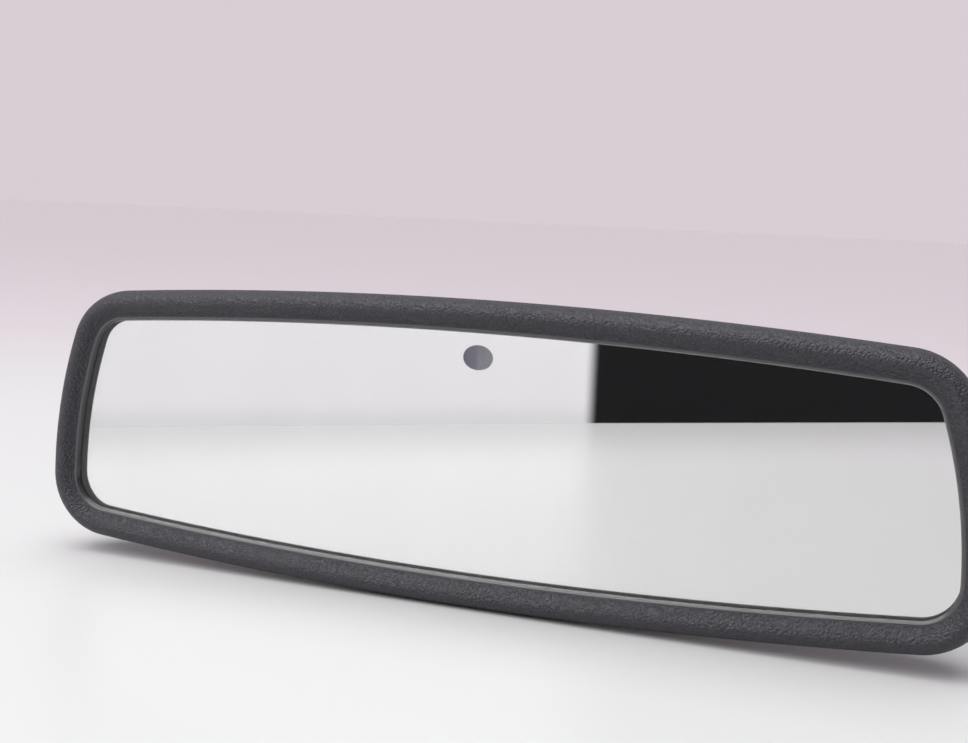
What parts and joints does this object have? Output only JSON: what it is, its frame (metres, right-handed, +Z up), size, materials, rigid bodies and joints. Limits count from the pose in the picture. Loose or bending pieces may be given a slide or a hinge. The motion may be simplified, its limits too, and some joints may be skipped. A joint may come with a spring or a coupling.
{
  "type": "interior rearview mirror",
  "caption": "Auto-dimming interior rearview mirror: wide rounded glass in a textured plastic head on a double-ball arm, with a wedge foot for a windscreen button.",
  "frame": {"origin": "centre of the windscreen button's bonding face", "axes": "+Z up in the car, +Y towards the front of the car, -Y towards the driver (the glass faces -Y), +X along the long side of the head; the bonding face's outward normal is (0, 0.5, 0.866)"},
  "size_m": [0.2586, 0.1181, 0.0797],
  "materials": {
    "textured_plastic": "fine moulded grain, dark charcoal",
    "black_plastic": "smooth satin black",
    "clear_glass": "polished clear float glass",
    "gel": "clear gel between the panes",
    "mirror_coating": "metal film",
    "seal_resin": "cured resin",
    "foam_tape": "closed-cell foam",
    "spring_copper": "bare rolled strip",
    "board_laminate": "green solder mask",
    "chip_resin": "moulded resin",
    "aluminium": "drawn can",
    "brass": "bare pins",
    "tinted_lens": "dark tinted, translucent",
    "nylon": "natural nylon",
    "spring_steel": "oiled",
    "polished_steel": "polished",
    "bare_steel": "sintered",
    "die_cast_zinc": "as-cast zinc alloy",
    "zinc_plate": "zinc plated",
    "satin_black_paint": "satin black on zinc casting"
  },
  "bodies": {
    "foot": {"windscreen_button": "bare_steel", "foot_bracket": "satin_black_paint", "foot_retainer": "satin_black_paint", "set_screw": "zinc_plate", "foot_thrust_pad": "nylon", "foot_disc_spring": "spring_steel"},
    "foot_liner": {"foot_liner": "nylon"},
    "arm": {"arm": "satin_black_paint"},
    "head_ball": {"head_ball": "polished_steel"},
    "head_liner": {"head_liner": "nylon"},
    "head": {"bezel": "textured_plastic", "rear_housing": "textured_plastic", "front_glass": "clear_glass", "rear_glass": "clear_glass", "electrochromic_gel": "gel", "cell_seal": "seal_resin", "reflector_coating": "mirror_coating", "bus_clip_upper": "spring_copper", "bus_clip_lower": "spring_copper", "glass_tape": "foam_tape", "glass_carrier": "black_plastic", "pivot_plate": "die_cast_zinc", "head_thrust_pad": "nylon", "head_disc_spring": "spring_steel", "socket_cap": "spring_steel", "circuit_board": "board_laminate", "microcontroller": "chip_resin", "power_transistor": "chip_resin", "capacitor_1": "aluminium", "capacitor_2": "aluminium", "glare_sensor": "chip_resin", "sensor_shroud": "black_plastic", "sensor_lens": "tinted_lens", "ambient_sensor": "chip_resin", "ambient_lens": "tinted_lens", "connector_shroud": "black_plastic", "pivot_screw_1": "zinc_plate", "chip_resistor_1": "chip_resin", "pivot_screw_2": "zinc_plate", "chip_resistor_2": "chip_resin", "pivot_screw_3": "zinc_plate", "chip_resistor_3": "chip_resin", "pivot_screw_4": "zinc_plate", "chip_resistor_4": "chip_resin", "board_screw_1": "zinc_plate", "board_screw_2": "zinc_plate", "connector_pin_1": "brass", "connector_pin_2": "brass", "connector_pin_3": "brass", "connector_pin_4": "brass", "connector_pin_5": "brass", "connector_pin_6": "brass"}
  },
  "joints": [
    {"name": "foot_yaw", "type": "hinge", "parent": "foot", "child": "foot_liner", "pos_m": [0, -0.012, -0.02079], "axis": [0, 0, 1], "range_deg": [-18, 18]},
    {"name": "foot_pitch", "type": "hinge", "parent": "foot_liner", "child": "arm", "pos_m": [0, -0.012, -0.02079], "axis": [1, 0, 0], "range_deg": [-18, 18]},
    {"name": "head_roll", "type": "hinge", "parent": "arm", "child": "head_ball", "pos_m": [0, -0.07, -0.02079], "axis": [0, 1, 0], "range_deg": [-10, 10]},
    {"name": "head_yaw", "type": "hinge", "parent": "head_ball", "child": "head_liner", "pos_m": [0, -0.07, -0.02079], "axis": [0, 0, 1], "range_deg": [-18, 18]},
    {"name": "head_pitch", "type": "hinge", "parent": "head_liner", "child": "head", "pos_m": [0, -0.07, -0.02079], "axis": [1, 0, 0], "range_deg": [-15, 15]}
  ]
}
